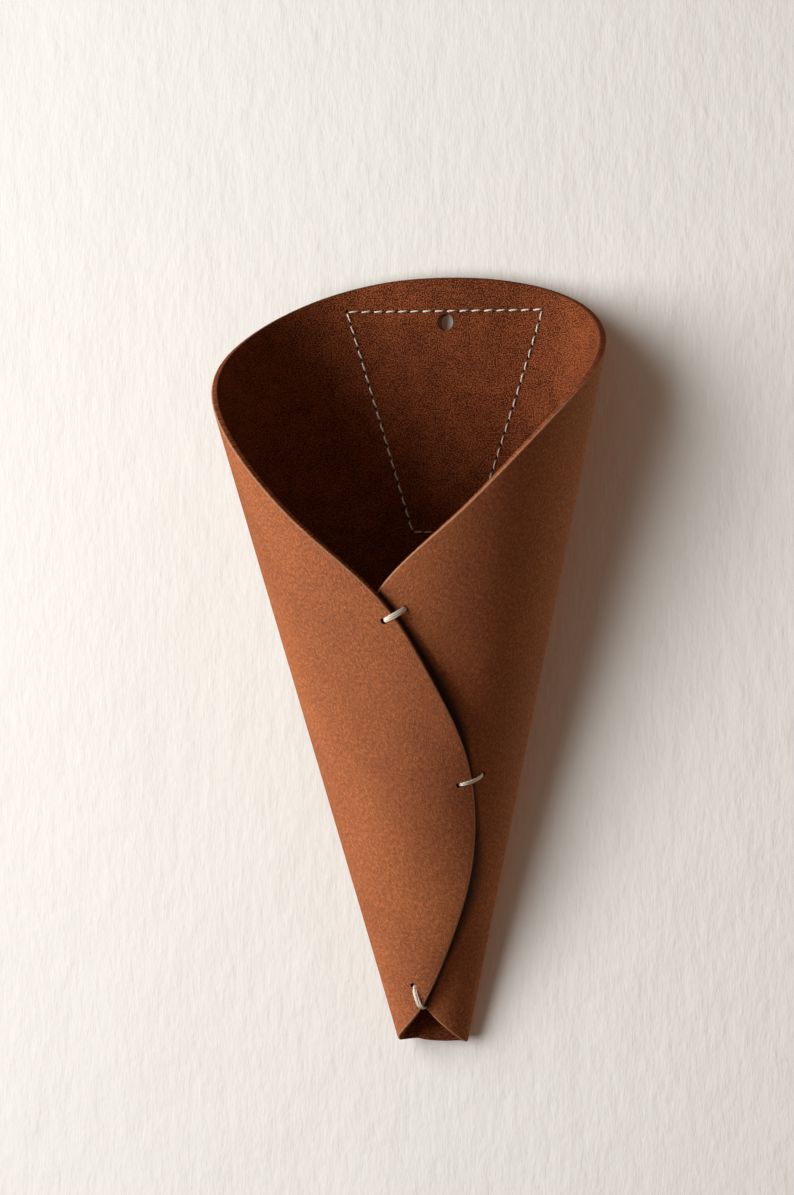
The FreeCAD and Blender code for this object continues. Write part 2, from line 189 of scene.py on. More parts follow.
def smoothCurve(points, count):
    # a cubic through points, its parameter the chord length, its ends aimed along a parabola's ends
    points = np.array(points, float)
    t = lengths(points)
    h = np.diff(t)[:, None]
    rise = np.diff(points, axis=0) / h
    n = len(points)
    matrix = np.zeros((n, n))
    right = np.zeros_like(points)
    matrix[0, 0] = matrix[-1, -1] = 1
    right[0] = rise[0] - (rise[1] - rise[0]) * h[0] / (h[0] + h[1])
    right[-1] = rise[-1] + (rise[-1] - rise[-2]) * h[-1] / (h[-1] + h[-2])
    inner = np.arange(1, n - 1)
    matrix[inner, inner - 1] = h[1:, 0]
    matrix[inner, inner] = 2 * (h[1:, 0] + h[:-1, 0])
    matrix[inner, inner + 1] = h[:-1, 0]
    right[1:-1] = 3 * (h[1:] * rise[:-1] + h[:-1] * rise[1:])
    slope = np.linalg.solve(matrix, right)
    s = np.linspace(0, t[-1], count)
    i = np.clip(np.searchsorted(t, s, side="right") - 1, 0, n - 2)
    u = ((s - t[i]) / h[i, 0])[:, None]
    width = h[i]
    return (points[i] * (1 + 2 * u) * (1 - u) ** 2 + slope[i] * width * u * (1 - u) ** 2
            + points[i + 1] * u * u * (3 - 2 * u) - slope[i + 1] * width * u * u * (1 - u))


def patternOutline():
    # the half pattern's rim and hem as tables: angle from the cone's point, and distance from it
    height = pattern["crown"] - pattern["foot"]
    outline = [(pattern["halfWidth"] * x, pattern["crown"] - height * y) for x, y in pattern["rim"]]
    corner = pattern["footCorner"]
    rim = smoothCurve([(-x, y) for x, y in reversed(outline[1:5])] + outline + [corner], tablePoints["rim"])
    hem = smoothCurve([(-corner[0], corner[1]), (0, pattern["foot"]), corner], tablePoints["hem"])
    angles, slants = polar(*rim.T)
    hemAngles, hemSlants = polar(*hem.T)
    tip = int(np.argmax(angles))
    return dict(rimAngles=angles[:tip], rimSlants=slants[:tip], flapAngles=angles[:tip:-1],
                flapSlants=slants[:tip:-1], hemAngles=hemAngles, hemSlants=hemSlants,
                corner=float(polar(*corner)[0]), tip=angles[tip] * pattern["tipTrim"])


outlineTable = patternOutline()


def rimSlant(angle):
    return np.interp(np.abs(angle), outlineTable["rimAngles"], outlineTable["rimSlants"])


def hemSlant(angle):
    turned = np.abs(angle)
    onFoot = np.interp(turned, outlineTable["hemAngles"], outlineTable["hemSlants"])
    onFlap = np.interp(turned, outlineTable["flapAngles"], outlineTable["flapSlants"])
    return np.where(turned < outlineTable["corner"], onFoot, onFlap)


def edgeAngle(slant):
    # where a flap's edge lies, by its distance from the cone's point
    slants, angles = (np.concatenate([outlineTable["flap" + kind], outlineTable["rim" + kind][::-1]])
                      for kind in ("Slants", "Angles"))
    return np.interp(slant, slants, angles)


def betweenTies(slant):
    # a squared sine between each pair of ties, nothing at them or beyond them
    low, middle, high = gape["ties"]
    share = np.where(slant < middle, (slant - low) / (middle - low), (slant - middle) / (high - middle))
    return np.where((slant > low) & (slant < high), np.sin(math.pi * share) ** 2, 0)


def nearest(places, line):
    # the distance from each place to the closest point of a line, and that point's number, in a few blocks
    away, numbers = [], []
    for block in np.array_split(places, 32):
        gaps = np.hypot(block[:, None, 0] - line[:, 0], block[:, None, 1] - line[:, 1])
        away.append(np.min(gaps, axis=1))
        numbers.append(np.argmin(gaps, axis=1))
    return np.concatenate(away), np.concatenate(numbers)


def lapShadeDistance(flat):
    # how far each place is from the line under the left flap's edge, counted in the painted shade line's widths,
    # and less than nothing where the flap covers it
    _, middle, high = gape["ties"]
    slants = np.linspace(outlineTable["flapSlants"][0], high + gape["shadeLineEnd"], tablePoints["lap"])
    angles = 2 * halfAngle - edgeAngle(slants)
    width = gape["line"] + np.where(slants < middle, *gape["shadeLineMore"]) * betweenTies(slants)
    away, number = nearest(flat, fromPolar(angles, slants))
    shown = np.interp(np.hypot(*flat.T), slants, angles) - np.arctan2(*flat.T)
    return np.sign(shown) * away / width[number]


# meshes
def gridFaces(rows, columns, closed=False, start=0):
    # the quads of a grid whose points are numbered along each row first, its rows closed to rings or not
    i = np.arange(rows - 1)[:, None]
    j = np.arange(columns if closed else columns - 1)[None, :]
    a, b = i * columns + j, i * columns + (j + 1) % columns
    return np.stack([a, b, b + columns, a + columns], -1).reshape(-1, 4) + start


def makePiece(name, points, faces, materials, slot=None, stands=None, slotOf=None, uv=None, weld=0):
    # a mesh object from arrays: points in millimetres, quads, one material number for each face. Points that
    # lie within weld are joined, each open end is closed and every face looks outward.
    mesh = bpy.data.meshes.new(name)
    mesh.from_pydata(points / metre, [], faces)
    for material in materials:
        mesh.materials.append(material)
    if slotOf is not None:
        mesh.polygons.foreach_set("material_index", np.asarray(slotOf, np.int32))
    for label, values in (uv or {}).items():
        layer = mesh.uv_layers.new(name=label)
        layer.data.foreach_set("uv", (np.asarray(values, float)[faces.ravel()] / metre).ravel())
    mesh.validate()
    work = bmesh.new()
    work.from_mesh(mesh)
    if weld:
        bmesh.ops.remove_doubles(work, verts=work.verts, dist=weld)
    bmesh.ops.holes_fill(work, edges=[e for e in work.edges if e.is_boundary], sides=0)
    bmesh.ops.recalc_face_normals(work, faces=work.faces)
    work.to_mesh(mesh)
    work.free()
    mesh.polygons.foreach_set("use_smooth", np.ones(len(mesh.polygons), bool))
    piece = bpy.data.objects.new(name, mesh)
    bpy.context.scene.collection.objects.link(piece)
    if slot:
        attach(piece, "root")
        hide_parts(stands)
    return piece


def edgeProfile(thickness, rounding, arcPoints, wallPoints):
    # a sheet's cut edge from one face to the other: a quarter circle, a straight wall and a quarter circle.
    # Returns the inset from the outline and the depth in the sheet.
    arc = np.linspace(0, math.pi / 2, arcPoints)
    wall = np.linspace(rounding, thickness - rounding, wallPoints + 2)[1:-1]
    inset = np.concatenate([rounding * (1 - np.sin(arc)), np.zeros(wallPoints), rounding * (1 - np.cos(arc))])
    depth = np.concatenate([rounding * (1 - np.cos(arc)), wall, thickness - rounding + rounding * np.sin(arc)])
    return inset, depth


def sheetLoop(rows):
    # the closed line round a cut through the wrap, from the flesh side over the rim to the grain side and
    # back under the hem. Returns the share from hem to rim, the inset from the edge, the depth, the material
    # and the number of points on one edge.
    thickness, rounding = leather["thickness"], leather["cornerRound"]
    inset, depth = edgeProfile(thickness, rounding, leather["arcPoints"], leather["wallPoints"])
    across = np.linspace(0, 1, rows)[1:-1]
    edge, face = np.ones(len(inset)), np.ones(rows - 2)
    share = np.concatenate([edge, across[::-1], 0 * edge, across])
    insets = np.concatenate([inset, rounding * face, inset[::-1], rounding * face])
    depths = np.concatenate([depth, thickness * face, depth[::-1], 0 * face])
    kind = np.concatenate([2 * edge, face, 2 * edge, 0 * face])
    return share, insets, depths, kind, len(inset)


def leatherWrap(materials):
    # the sheet as columns from hem to rim, closer together towards each flap's tip. A point's place in the
    # flat pattern lies between the rim and the hem, both drawn in by the loop's inset, and is then wrapped.
    look = {"bodyColumns": 210, "flapColumns": 52, "rows": 84}
    corner, tip = outlineTable["corner"], outlineTable["tip"]
    flap = corner + (tip - corner) * np.sin(np.linspace(0, math.pi / 2, look["flapColumns"]))
    body = np.linspace(-corner, corner, look["bodyColumns"])
    angles = np.concatenate([-flap[:0:-1], body, flap[1:]])
    share, inset, depth, kind, edgeRows = sheetLoop(look["rows"])
    lines, drawnIn = [], []
    for slants, inward in ((hemSlant(angles), 1), (rimSlant(angles), -1)):
        line = fromPolar(angles, slants)
        lines.append(line)
        drawnIn.append(line[:, None] + (quarterTurn(unit(np.gradient(line, axis=0))) * inward)[:, None]
                       * inset[None, :, None])
    hem, rim = drawnIn
    columns, rows = len(angles), len(share)
    flats = [(hem + (rim - hem) * share[None, :, None]).reshape(-1, 2)]
    depths = [np.tile(depth, columns)]
    faces = [gridFaces(columns, rows, closed=True)]
    slots = [np.tile(np.minimum(kind, np.roll(kind, -1)), columns - 1)]     # cut edge between two of its points
    for tipEnd in (0, -1):      # a strip of cut edge from the flesh side to the grain side closes each tip
        across = np.linspace(0, 1, look["rows"])[:, None, None]
        strip = hem[tipEnd, :edgeRows] + (rim - hem)[tipEnd, :edgeRows] * across
        faces.append(gridFaces(look["rows"], edgeRows, start=sum(map(len, flats))))
        flats.append(strip.reshape(-1, 2))
        depths.append(np.tile(depth[:edgeRows], look["rows"]))
        slots.append(np.full(len(faces[-1]), 2))
    flat, depths = np.concatenate(flats), np.concatenate(depths)
    turned = np.arctan2(*flat.T)
    points = wrapped(turned, np.hypot(*flat.T), depths)
    near, _ = nearest(flat, np.concatenate(lines))
    # a painted shade map: how far each place is from the dark line under the left flap's edge
    lap = np.where(turned > 0, lapShadeDistance(flat), farAway)
    maps = {"flat": flat - [0, cone["apexDrop"]], "edge": np.stack([near, depths], -1),
            "lap": np.stack([lap, lap], -1)}
    return makePiece("leatherWrap", points, np.concatenate(faces), materials, "wrap_leather", "leather_wrap",
                     np.concatenate(slots), maps, weld=1e-7)


# the stitch line and the ties, as in the CAD model
stitching = {
    "top": 3.7, "drop": 73.5, "topHalf": 34.5, "footHalf": 10.6, "pitch": 4.23, "thread": 0.58,
    "plump": 4.0, "reach": 0.82, "sink": 1.2, "rise": 1.48, "slant": 0.42, "points": 26,    # each bar's shape
    "backShare": 0.9, "backRise": 0.3,          # behind, the thread is thinner and lies in its groove
    "groove": 0.62, "grooveHalf": 0.62, "grooveFlat": 1.25,
    "holeLong": 0.98, "holeWide": 0.52, "holeLean": 0.45,
}
ties = {
    "thread": 0.72, "bend": 0.12, "knot": 1.0, "bunch": 0.62, "spread": 0.94, "stack": 0.5,
    "leatherGap": 0.02, "hemGap": 0.1, "holeLong": 0.88, "holeMore": 0.42,
    "knotShare": 1.02, "knotOpen": 0.35, "knotDeep": 1.3, "knotPoints": 90,
    "tail": [(0.5, 0.0, 0.0), (1.5, 0.3, 0.0), (2.2, 0.5, 0.7), (2.9, 0.3, 1.5)],   # along, inwards, aside
    "upper": {"strands": 3, "left": (1.016, 179.1), "right": (0.929, 182.7)},
    "middle": {"strands": 2, "left": (1.225, 123.1), "right": (0.680, 125.9)},
    "lower": {"strands": 3, "left": (0.956, 51.6)},
}


def stitchCorners():
    # the trapezoid's corners, from the middle of its foot round to there
    foot, top = stitching["top"] - stitching["drop"], stitching["top"]
    a, b = stitching["footHalf"], stitching["topHalf"]
    return np.array([(0, foot), (-a, foot), (-b, top), (b, top), (a, foot), (0, foot)])


def stitchPlaces():
    # the awl holes, evenly spaced down each side of the trapezoid
    corners, places = stitchCorners(), []
    for a, b in zip(corners, corners[1:]):
        count = max(1, round(float(np.linalg.norm(b - a)) / stitching["pitch"]))
        places.append(a + (b - a) * (np.arange(count) / count)[:, None])
    return np.concatenate(places)


def roundedPath(points, passes=3):
    # cuts each corner of an open line to a quarter and three quarters of its runs, several times over
    points = np.asarray(points, float)
    for _ in range(passes):
        near = points[:-1] * 0.75 + points[1:] * 0.25
        far = points[:-1] * 0.25 + points[1:] * 0.75
        middle = np.stack([near, far], 1).reshape(-1, 3)
        points = np.concatenate([points[:1], middle, points[-1:]])
    return points


def evenly(points, count=None, closed=False):
    # the same line with its points evenly spaced, the twist's step apart unless a count is given
    t = lengths(points)
    s = np.linspace(0, t[-1], count or max(4, int(t[-1] / twist["step"]) + 1), endpoint=not closed)
    return np.stack([np.interp(s, t, part) for part in points.T], -1)


twist = {"lay": 2.6, "around": 12, "core": 0.70, "ply": 0.34, "furrow": 0.7, "step": 0.16}


def threadTubes(paths, sideways, radius):
    # a two-ply twisted thread along each of several paths: the radius is largest on the two plies and falls
    # in the furrows between them, which turn once in each lay of the thread. sideways is square to a path's
    # bends. Returns points and quads, the ends left open.
    sets, count = paths.shape[:2]
    around = twist["around"]
    way = unit(np.gradient(paths, axis=1))
    side = np.broadcast_to(np.asarray(sideways, float), paths.shape)
    side = unit(side - way * np.sum(side * way, -1, keepdims=True))
    up = np.cross(way, side)
    t = np.stack([lengths(path) for path in paths])
    turn = 2 * math.pi * np.arange(around) / around
    furrow = np.abs(np.cos(turn - (2 * math.pi / twist["lay"]) * t[..., None]))
    thick = radius * (twist["core"] + twist["ply"] * furrow ** twist["furrow"])
    ring = side[:, :, None] * np.cos(turn)[:, None] + up[:, :, None] * np.sin(turn)[:, None]
    points = paths[:, :, None] + ring * thick[..., None]
    one = gridFaces(count, around, closed=True)
    faces = (one[None] + (np.arange(sets) * count * around)[:, None, None]).reshape(-1, 4)
    return points.reshape(-1, 3), faces


def joined(parts):
    # several point and quad arrays as one
    points, faces = zip(*parts)
    starts = np.cumsum([0] + [len(p) for p in points[:-1]])
    return np.concatenate(points), np.concatenate([f + start for f, start in zip(faces, starts)])


def stitchBars(depthOf, lean, radius):
    # one thread bar from each hole to the next on one face of the leather. It comes up out of its hole,
    # lies plump on the surface and dips into the next. depthOf turns its height into a depth.
    places = stitchPlaces()
    after = np.roll(places, -1, axis=0)
    way = unit(after - places)
    across = quarterTurn(way)
    s = np.linspace(0.0, 1.0, stitching["points"])
    slant = (s - 0.5) * lean * stitching["slant"]
    flat = places[:, None] + (after - places)[:, None] * s[:, None] + across[:, None] * slant[:, None]
    rise = 1 - np.minimum(np.abs(2 * s - 1) / stitching["reach"], 1) ** stitching["plump"]
    height = stitching["rise"] * rise - stitching["sink"]
    points = fromPattern(flat[..., 0], flat[..., 1], depthOf(height))
    side = unit(np.cross(points[:, -1] - points[:, 0], (0.0, 1.0, 0.0)))
    return threadTubes(points, side[:, None], radius)


def panelStitching(materials):
    # the bars inside the vase, and those behind, in their groove below the panel's back
    radius = stitching["thread"] / 2
    floor = leather["thickness"] + leather["glueGap"] + leather["panelThickness"] - stitching["groove"]
    front = stitchBars(lambda height: -height, 1, radius)
    behind = stitchBars(lambda height: floor + np.minimum(height, stitching["backRise"]), -1,
                        radius * stitching["backShare"])
    makePiece("panelStitching", *joined([front, behind]), materials, "waxed_thread", "panel_stitching")


def knotPath(centre, way, out, size):
    # a trefoil left open at one point, the line that an overhand knot pulls into
    t = np.linspace(ties["knotOpen"], 2 * math.pi - ties["knotOpen"], ties["knotPoints"])
    deep = -ties["knotDeep"] * np.sin(3 * t)
    flat = np.stack([np.sin(t) + 2 * np.sin(2 * t), np.cos(t) - 2 * np.cos(2 * t), deep], -1) / 3
    return centre + (flat * size) @ np.stack([way, unit(np.cross(way, out)), out], 0)


def onEdge(left, right):
    # how far along a tie, from its left place to its right one, the left flap's edge lies
    leftAngle, rightAngle = left[0] * halfAngle, right[0] * halfAngle
    run = 2 * halfAngle - rightAngle - leftAngle
    share = np.linspace(0, 1, tablePoints["onEdge"])
    angle = leftAngle + run * share
    slant = left[1] + (right[1] - left[1]) * share
    covered = (angle < outlineTable["tip"]) & (hemSlant(angle) < slant) & (slant < rimSlant(angle))
    return float(share[covered].max())


def tieTurns(name):
    # the places that one turn of a tie passes, and its holes' axes, from inside to outside
    left, right = ties[name]["left"], ties[name].get("right")
    gap = ties["thread"] / 2 + ties["leatherGap"]
    top = leather["thickness"] + gap
    a = left[0] * halfAngle
    stops = [wrapped(2 * halfAngle - a, left[1], -gap), wrapped(-a, left[1], top)]
    holes = [tuple(stops)]
    if right is None:           # round the foot's edge
        edge = float(hemSlant(halfAngle)) - gap - ties["hemGap"]
        stops += [wrapped(-halfAngle, edge, top), wrapped(halfAngle, edge, -gap)]
    else:                       # over the left flap's edge to a hole in the right flap
        b = right[0] * halfAngle
        share = onEdge(left, right)
        over = share + (1 - share) * ties["bend"]
        overAngle, overSlant = a + (2 * halfAngle - b - a) * over, left[1] + (right[1] - left[1]) * over
        stops += [wrapped(-overAngle, overSlant, top), wrapped(b, right[1], top), wrapped(b, right[1], -gap)]
        holes.append((stops[4], stops[3]))
    return stops, holes


def tieThread(name, materials):
    # one thread that makes all the tie's turns side by side, then an overhand knot inside with two tails. The
    # turns lie spread on the leather at their third stop and are bunched at the others.
    stops, _ = tieTurns(name)
    strands = ties[name]["strands"]
    inward = unit(stops[0] - stops[1])
    side = unit(np.cross(unit(stops[2] - stops[1]), inward))
    line = []
    for k in range(strands):
        spot = k - (strands - 1) / 2
        shift = side * spot * ties["thread"] * ties["spread"]
        raised = inward * (abs(spot) - 0.5) * ties["thread"] * ties["stack"]
        for i, stop in enumerate(stops):
            line.append(stop + (shift if i == 2 else shift * ties["bunch"] + raised))
    middle = (stops[0] + stops[-1]) / 2 + inward * (ties["knot"] + ties["thread"] / 2)
    runWay = unit(stops[-1] - stops[0])
    half = runWay * ties["knot"] / 2
    paths = [(roundedPath([middle - half] + line + [middle + half]), side),
             (knotPath(middle, runWay, inward, ties["knot"] * ties["knotShare"]), inward)]
    for turn in (-1, 1):
        tail = [middle + runWay * turn * a + inward * b + side * turn * c for a, b, c in ties["tail"]]
        paths.append((roundedPath(tail, 2), inward))
    tubes = [threadTubes(evenly(path)[None], square, ties["thread"] / 2) for path, square in paths]
    makePiece(name + "Tie", *joined(tubes), materials, "waxed_thread", name + "_tie")


panelLook = {"margin": 3.2, "corner": 3.4, "round": 0.45, "arcPoints": 4, "rings": 74, "around": 420,
             "crowding": 0.85, "middle": (0.0, -26.0), "nearMiddle": 0.9995, "wallGap": 0.004}


def panelOutline():
    # the trapezoid's edge in the flat pattern, its corners rounded, as evenly spaced points
    margin, drop = panelLook["margin"], stitching["drop"]
    slope = (stitching["topHalf"] - stitching["footHalf"]) / drop
    side = margin * math.hypot(1, slope)
    top, foot = stitching["top"] + margin, stitching["top"] - drop - margin
    topHalf = stitching["topHalf"] + slope * margin + side
    footHalf = stitching["footHalf"] - slope * margin + side
    corners = np.array([(-topHalf, top), (topHalf, top), (footHalf, foot), (-footHalf, foot)])
    line = []
    for i in range(4):
        here, before, after = corners[i], corners[i - 1], corners[(i + 1) % 4]
        a, b = here + unit(before - here) * panelLook["corner"], here + unit(after - here) * panelLook["corner"]
        t = np.linspace(0, 1, 9)[:, None]
        line.append(a * (1 - t) ** 2 + 2 * here * t * (1 - t) + b * t * t)
    return evenly(np.concatenate(line + [line[0][:1]]), panelLook["around"], closed=True)


def stitchDistance(flat):
    # how far each place of the flat pattern is from the stitch line
    corners, best = stitchCorners(), np.full(flat.shape[:-1], 1e9)
    for p, q in zip(corners, corners[1:]):
        share = np.clip(((flat - p) @ (q - p)) / ((q - p) @ (q - p)), 0, 1)
        best = np.minimum(best, np.linalg.norm(flat - p - share[..., None] * (q - p), axis=-1))
    return best


def backPanel(materials):
    # rings that shrink from the outline to the middle, on both faces, with a rounded edge between them. The
    # back sinks into a groove along the stitch line.
    outline, middle = panelOutline(), np.array(panelLook["middle"])
    thick, rounding = leather["panelThickness"], panelLook["round"]
    edgeInset, edgeDepth = edgeProfile(thick, rounding, panelLook["arcPoints"], 0)
    rings, edgeRows = panelLook["rings"] - 1, len(edgeInset)
    shrink = np.linspace(0, 1, rings + 1) ** panelLook["crowding"]
    face = np.ones(rings)
    inset = np.concatenate([rounding * face, edgeInset, rounding * face])
    depth = np.concatenate([0 * face, edgeDepth, thick * face])
    inward = np.concatenate([shrink[:0:-1], np.zeros(edgeRows), shrink[1:]])
    into = quarterTurn(unit(np.roll(outline, -1, axis=0) - np.roll(outline, 1, axis=0)))
    into = into * np.sign(np.sum(into * (middle - outline), -1, keepdims=True))
    flat = outline[None] + into[None] * inset[:, None, None]
    flat = flat + (middle - flat) * np.minimum(inward, panelLook["nearMiddle"])[:, None, None]
    fall = stitching["grooveFlat"] - stitchDistance(flat) / stitching["grooveHalf"]
    behind = (np.arange(len(depth)) > rings + edgeRows + 1)[:, None]
    sunk = np.where(behind, stitching["groove"] * np.clip(fall, 0, 1) ** 0.5, 0)
    inner = leather["thickness"] + leather["glueGap"]
    points = fromPattern(flat[..., 0], flat[..., 1], inner + depth[:, None] - sunk)
    points[..., 1] = np.minimum(points[..., 1], -panelLook["wallGap"])
    faces = gridFaces(len(depth), panelLook["around"], closed=True)
    kind = np.zeros(len(depth) - 1, int)
    kind[rings:rings + edgeRows] = 1
    return makePiece("backPanel", points.reshape(-1, 3), faces, materials, "panel_leather", "back_panel",
                     np.repeat(kind, panelLook["around"]), {"flat": flat.reshape(-1, 2)})


def prism(start, end, side, halfLong, halfWide, corners):
    # a straight cutter with a many-sided outline, longer than the hole at both ends
    way = unit(end - start)
    side = unit(side - way * float(side @ way))
    turn = 2 * math.pi * np.arange(corners)[:, None] / corners
    ring = side * np.cos(turn) * halfLong + np.cross(way, side) * np.sin(turn) * halfWide
    more = way * holeLook["over"]
    return np.concatenate([start - more + ring, end + more + ring]), gridFaces(2, corners, closed=True)


def cutHoles(piece, parts):
    # takes the parts out of the piece, whose new walls are cut edge
    cutter = makePiece("cutter", *joined(parts), [cutEdge])
    cut = piece.modifiers.new("holes", "BOOLEAN")
    cut.operation, cut.solver, cut.material_mode, cut.object = "DIFFERENCE", "EXACT", "TRANSFER", cutter
    bpy.context.view_layer.update()
    shaped = bpy.data.meshes.new_from_object(piece.evaluated_get(bpy.context.evaluated_depsgraph_get()))
    piece.modifiers.remove(cut)
    old = piece.data
    piece.data = shaped
    bpy.data.meshes.remove(old)
    shaped.name = piece.name
    shaped.set_sharp_from_angle(angle=math.radians(holeLook["sharp"]))
    bpy.data.objects.remove(cutter)


holeLook = {"hanging": 2.8, "hangingCorners": 40, "tieCorners": 24, "over": 1.2, "sharp": 50.0}


def awlHoles(inner, outer):
    # the awl's diamonds, long ways along the stitch line and leaning a little, between two depths
    places = stitchPlaces()
    way = unit(np.roll(places, -1, axis=0) - np.roll(places, 1, axis=0))
    slanted = places + unit(way + quarterTurn(way) * stitching["holeLean"])
    starts, ends = fromPattern(*places.T, inner), fromPattern(*places.T, outer)
    return [prism(start, end, beside - start, stitching["holeLong"], stitching["holeWide"], 4)
            for start, end, beside in zip(starts, ends, fromPattern(*slanted.T, inner))]


def roundHoles(withTies):
    # the hanging hole and, in the wrap, the ties' holes
    radius = holeLook["hanging"]
    parts = [prism(np.array([0.0, backY, 0.0]), np.zeros(3), np.array([1.0, 0, 0]), radius, radius,
                   holeLook["hangingCorners"])]
    for name in ("upper", "middle", "lower") if withTies else ():
        stops, holes = tieTurns(name)
        half = ties[name]["strands"] * ties["thread"] / 2 * ties["bunch"] + ties["holeMore"]
        across = np.cross(unit(stops[2] - stops[1]), unit(stops[0] - stops[1]))
        parts += [prism(start, end, across, half, ties["holeLong"], holeLook["tieCorners"]) for start, end in holes]
    return parts


# materials
def feed(tree, socket, value):
    # gives a socket a link, a colour or a number
    if hasattr(value, "is_linked"):
        tree.links.new(value, socket)
    elif socket.type == "RGBA" and len(value) == 3:
        socket.default_value = (*value, 1.0)
    else:
        socket.default_value = value


def addNode(tree, kind, **values):
    # a shader node with its properties and its named sockets set
    node = tree.nodes.new("ShaderNode" + kind)
    for key, value in values.items():
        if key in node.inputs:
            feed(tree, node.inputs[key], value)
        else:
            setattr(node, key, value)
    return node


def newGroup(name, inputs, outputs):
    group = bpy.data.node_groups.new(name, "ShaderNodeTree")
    for label, kind in inputs:
        group.interface.new_socket(label, in_out="INPUT", socket_type=kind)
    for label in outputs:
        group.interface.new_socket(label, in_out="OUTPUT", socket_type="NodeSocketFloat")
    return group, group.nodes.new("NodeGroupInput"), group.nodes.new("NodeGroupOutput")


def maths(tree, operation, *values, kind="Math", output=0, **more):
    # a sum on numbers or, with the other kind of node, on vectors
    node = addNode(tree, kind, operation=operation, **more)
    for socket, value in zip(node.inputs, values):
        feed(tree, socket, value)
    return node.outputs[output]


def vectorMaths(tree, operation, *values, output=0):
    return maths(tree, operation, *values, kind="VectorMath", output=output)


def weighted(tree, *parts):
    # the sum of several values, each times its weight
    total = maths(tree, "MULTIPLY", *parts[0])
    for value, weight in parts[1:]:
        total = maths(tree, "MULTIPLY_ADD", value, weight, total)
    return total


def mixColor(tree, factor, a, b, blend="MIX"):
    node = addNode(tree, "Mix", data_type="RGBA", blend_type=blend)
    for number, value in ((0, factor), (6, a), (7, b)):
        feed(tree, node.inputs[number], value)
    return node.outputs[2]


def brightened(tree, color, factor):
    # a colour times a grey that changes over the surface
    grey = addNode(tree, "CombineColor", Red=factor, Green=factor, Blue=factor)
    return mixColor(tree, 1.0, color, grey.outputs[0], "MULTIPLY")


def ranged(tree, value, low, high, toLow=0.0, toHigh=1.0):
    # carries one range of a value smoothly onto another
    node = addNode(tree, "MapRange", interpolation_type="SMOOTHSTEP")
    for socket, given in zip(node.inputs, (value, low, high, toLow, toHigh)):
        feed(tree, socket, given)
    return node.outputs[0]


def noise(tree, vector, scale, detail=4.0, rough=0.55, distort=0.0):
    return addNode(tree, "TexNoise", Vector=vector, Scale=scale, Detail=detail, Roughness=rough,
                   Distortion=distort).outputs["Fac"]


def cells(tree, vector, scale, feature="F1"):
    return addNode(tree, "TexVoronoi", feature=feature, Vector=vector, Scale=scale).outputs["Distance"]


def mottleGroup():
    # cloudy patches at three sizes, and flecks, from 0 to 1, on a place in millimetres
    tree, start, end = newGroup("hideMottle", [("Place", "NodeSocketVector"), ("Patch", "NodeSocketFloat")],
                                ["Clouds", "Flecks"])
    place = vectorMaths(tree, "MULTIPLY", start.outputs["Place"], (1.0, 0.62, 1.0))
    place = vectorMaths(tree, "MULTIPLY", place, start.outputs["Patch"])
    clouds = weighted(tree, (noise(tree, place, 5.2, 5.0, 0.6, 0.8), 0.33),
                      (noise(tree, place, 1.0, 3.0, 0.5, 0.4), 0.55), (noise(tree, place, 24.0, 4.0, 0.6), 0.12))
    feed(tree, end.inputs["Clouds"], ranged(tree, clouds, 0.34, 0.66))
    feed(tree, end.inputs["Flecks"], ranged(tree, noise(tree, place, 62.0, 3.0, 0.7), 0.30, 0.74))
    return tree


def grainGroup():
    # the grain's fine pebbles and pores: the height from 0 to 1, and the mask of the creases between
    tree, start, end = newGroup("hideGrain", [("Place", "NodeSocketVector")], ["Height", "Creases"])
    place = start.outputs["Place"]
    wobble = addNode(tree, "TexNoise", Vector=place, Scale=0.9, Detail=2.0)
    shifted = vectorMaths(tree, "MULTIPLY_ADD", wobble.outputs["Color"], (0.55, 0.55, 0.0), place)
    crease = ranged(tree, cells(tree, shifted, 1.9, "DISTANCE_TO_EDGE"), 0.0, 0.20, 1.0, 0.0)
    pore = ranged(tree, cells(tree, place, 1.3), 0.02, 0.28, 1.0, 0.0)
    height = weighted(tree, (noise(tree, place, 3.2, 3.0, 0.65), 0.45), (crease, -0.55), (pore, -0.35))
    feed(tree, end.inputs["Height"], maths(tree, "ADD", height, 0.6))
    feed(tree, end.inputs["Creases"], maths(tree, "MAXIMUM", crease, pore))
    return tree


def napGroup():
    # the flesh side's short nap: clumped fibres that lie in all directions
    tree, start, end = newGroup("hideNap", [("Place", "NodeSocketVector")], ["Height", "Clumps"])
    place = start.outputs["Place"]
    fine = noise(tree, place, 2.5, 2.0, 0.60, 0.2)
    clump = noise(tree, place, 0.55, 4.0, 0.68, 0.8)
    wide = noise(tree, place, 0.12, 3.0, 0.5, 0.3)
    feed(tree, end.inputs["Height"], weighted(tree, (clump, 0.45), (fine, 0.75)))
    blend = weighted(tree, (clump, 0.12), (fine, 0.80), (wide, 0.08))
    feed(tree, end.inputs["Clumps"], ranged(tree, blend, 0.455, 0.565))
    return tree


groups = {"mottle": mottleGroup(), "grain": grainGroup(), "nap": napGroup()}


def group(tree, name, **values):
    return addNode(tree, "Group", node_tree=groups[name], **values)


def mapPlace(tree, uvMap="flat"):
    # the two measures that a UV map holds, in millimetres: the place in the flat pattern, unless another is named
    return vectorMaths(tree, "MULTIPLY", addNode(tree, "UVMap", uv_map=uvMap).outputs[0], (metre,) * 3)


def mapMeasure(tree, uvMap, axis):
    return addNode(tree, "SeparateXYZ", Vector=mapPlace(tree, uvMap)).outputs[axis]


def newMaterial(name):
    material = bpy.data.materials.new(name)
    material.use_nodes = True
    tree = material.node_tree
    return material, tree, tree.nodes["Principled BSDF"]


